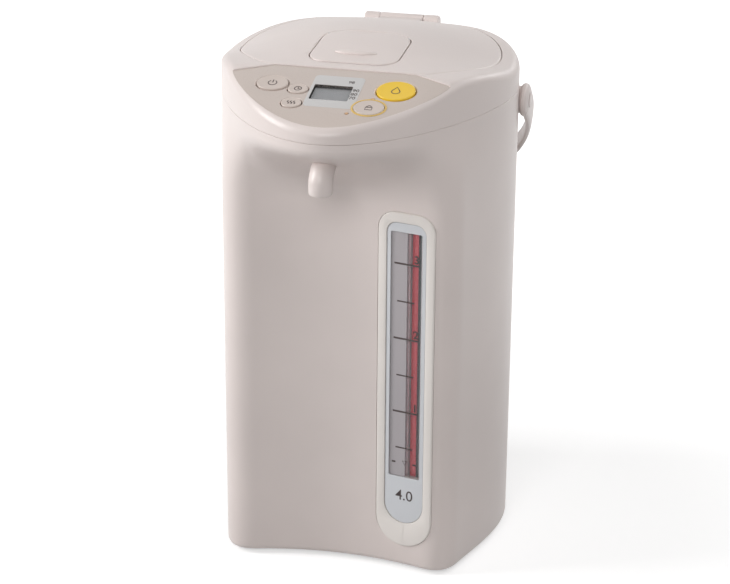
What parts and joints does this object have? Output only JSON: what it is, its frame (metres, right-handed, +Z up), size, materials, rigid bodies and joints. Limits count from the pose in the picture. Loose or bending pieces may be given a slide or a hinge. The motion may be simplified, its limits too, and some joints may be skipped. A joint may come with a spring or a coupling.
{
  "type": "electric thermo pot",
  "caption": "Electric hot water dispenser pot with a hinged lid, pump spout, level gauge, control panel and swinging carry handle.",
  "frame": {"origin": "on the floor, under the middle of the overall box", "axes": "+Z up, the spout points along -Y, +X to the right as seen from the front"},
  "size_m": [0.2102, 0.2638, 0.3453],
  "materials": {
    "shell_plastic": "satin moulded plastic, warm pale grey",
    "panel_plastic": "satin moulded plastic, a shade darker than the shell",
    "label_plastic": "printed pale grey label",
    "yellow_plastic": "yellow moulded plastic",
    "clear_plastic": "clear window plastic",
    "tube_glass": "clear glass tube",
    "display_grey": "liquid crystal display",
    "backing_grey": "dark grey backing",
    "red_strip": "red painted strip",
    "lamp_plastic": "tinted lamp",
    "steel": "plain steel",
    "dark_plastic": "dark moulded plastic",
    "white_plastic": "pale inner plastic",
    "foot_rubber": "soft rubber",
    "silicone": "pale silicone",
    "board_green": "circuit board"
  },
  "bodies": {
    "body": {"body_casing": "shell_plastic", "bottom_cover": "dark_plastic", "rubber_foot_1": "foot_rubber", "rubber_foot_2": "foot_rubber", "rubber_foot_3": "foot_rubber", "rubber_foot_4": "foot_rubber", "cover_screw_1": "steel", "cover_screw_2": "steel", "cover_screw_3": "steel", "cover_screw_4": "steel", "top_cover": "shell_plastic", "lid_hinge_pin": "steel", "inner_vessel": "steel", "vessel_frame": "white_plastic", "heater_plate": "steel", "temperature_sensor": "dark_plastic", "pump_housing": "white_plastic", "pump_motor": "steel", "inlet_pipe": "silicone", "delivery_pipe": "silicone", "outlet_pipe": "silicone", "spout_nozzle": "shell_plastic", "gauge_bezel": "shell_plastic", "gauge_label": "label_plastic", "gauge_window": "clear_plastic", "gauge_tube": "tube_glass", "gauge_backing": "backing_grey", "gauge_trough": "white_plastic", "gauge_red_strip": "red_strip", "panel_plate": "panel_plastic", "display_label": "label_plastic", "display_lens": "clear_plastic", "display_module": "display_grey", "control_board": "board_green", "unlock_ring": "yellow_plastic", "lock_lamp": "lamp_plastic", "boil_lamp": "lamp_plastic", "power_inlet": "dark_plastic", "main_board": "board_green", "pivot_screw_left": "shell_plastic", "pivot_screw_right": "shell_plastic"},
    "lid": {"lid_shell": "shell_plastic", "lid_lever_pin": "steel", "lid_inner_plate": "steel", "lid_gasket": "silicone", "latch_spring": "steel"},
    "lever": {"lid_lever": "shell_plastic"},
    "slider": {"latch_slider": "white_plastic"},
    "handle": {"carry_handle": "shell_plastic"},
    "impeller": {"pump_impeller": "white_plastic"},
    "energy_key": {"energy_button": "panel_plastic"},
    "timer_key": {"timer_button": "panel_plastic"},
    "boil_key": {"boil_button": "panel_plastic"},
    "dispense_key": {"dispense_button": "yellow_plastic"},
    "unlock_key": {"unlock_button": "panel_plastic"}
  },
  "joints": [
    {"name": "lid_hinge", "type": "hinge", "parent": "body", "child": "lid", "pos_m": [0, 0.10112, 0.3283], "axis": [-1, 0, 0], "range_deg": [0, 95]},
    {"name": "lever_pivot", "type": "hinge", "parent": "lid", "child": "lever", "pos_m": [0, 0.00412, 0.34301], "axis": [-1, 0, 0], "range_deg": [0, 30], "stiffness_Nm_per_rad": 0.05},
    {"name": "latch_slide", "type": "slide", "parent": "lid", "child": "slider", "axis": [0, 1, 0], "range_m": [0, 0.0035], "deforming": ["latch_spring"]},
    {"name": "handle_pivot", "type": "hinge", "parent": "body", "child": "handle", "pos_m": [0, 0.03162, 0.3], "axis": [1, 0, 0], "range_deg": [0, 150]},
    {"name": "impeller_spin", "type": "hinge", "parent": "body", "child": "impeller", "pos_m": [0.04, -0.01438, 0.032], "axis": [0, 0, 1], "continuous": true},
    {"name": "energy_press", "type": "slide", "parent": "body", "child": "energy_key", "axis": [0, 0.2588, -0.9659], "range_m": [0, 0.0008], "stiffness_N_per_m": 800},
    {"name": "timer_press", "type": "slide", "parent": "body", "child": "timer_key", "axis": [0, 0.2588, -0.9659], "range_m": [0, 0.0008], "stiffness_N_per_m": 800},
    {"name": "boil_press", "type": "slide", "parent": "body", "child": "boil_key", "axis": [0, 0.2588, -0.9659], "range_m": [0, 0.0008], "stiffness_N_per_m": 800},
    {"name": "dispense_press", "type": "slide", "parent": "body", "child": "dispense_key", "axis": [0, 0.2588, -0.9659], "range_m": [0, 0.0008], "stiffness_N_per_m": 800},
    {"name": "unlock_press", "type": "slide", "parent": "body", "child": "unlock_key", "axis": [0, 0.2588, -0.9659], "range_m": [0, 0.0008], "stiffness_N_per_m": 800}
  ],
  "couplings": [
    {"joint": "latch_slide", "follows": "lever_pivot", "m_per_rad": 0.006684}
  ]
}
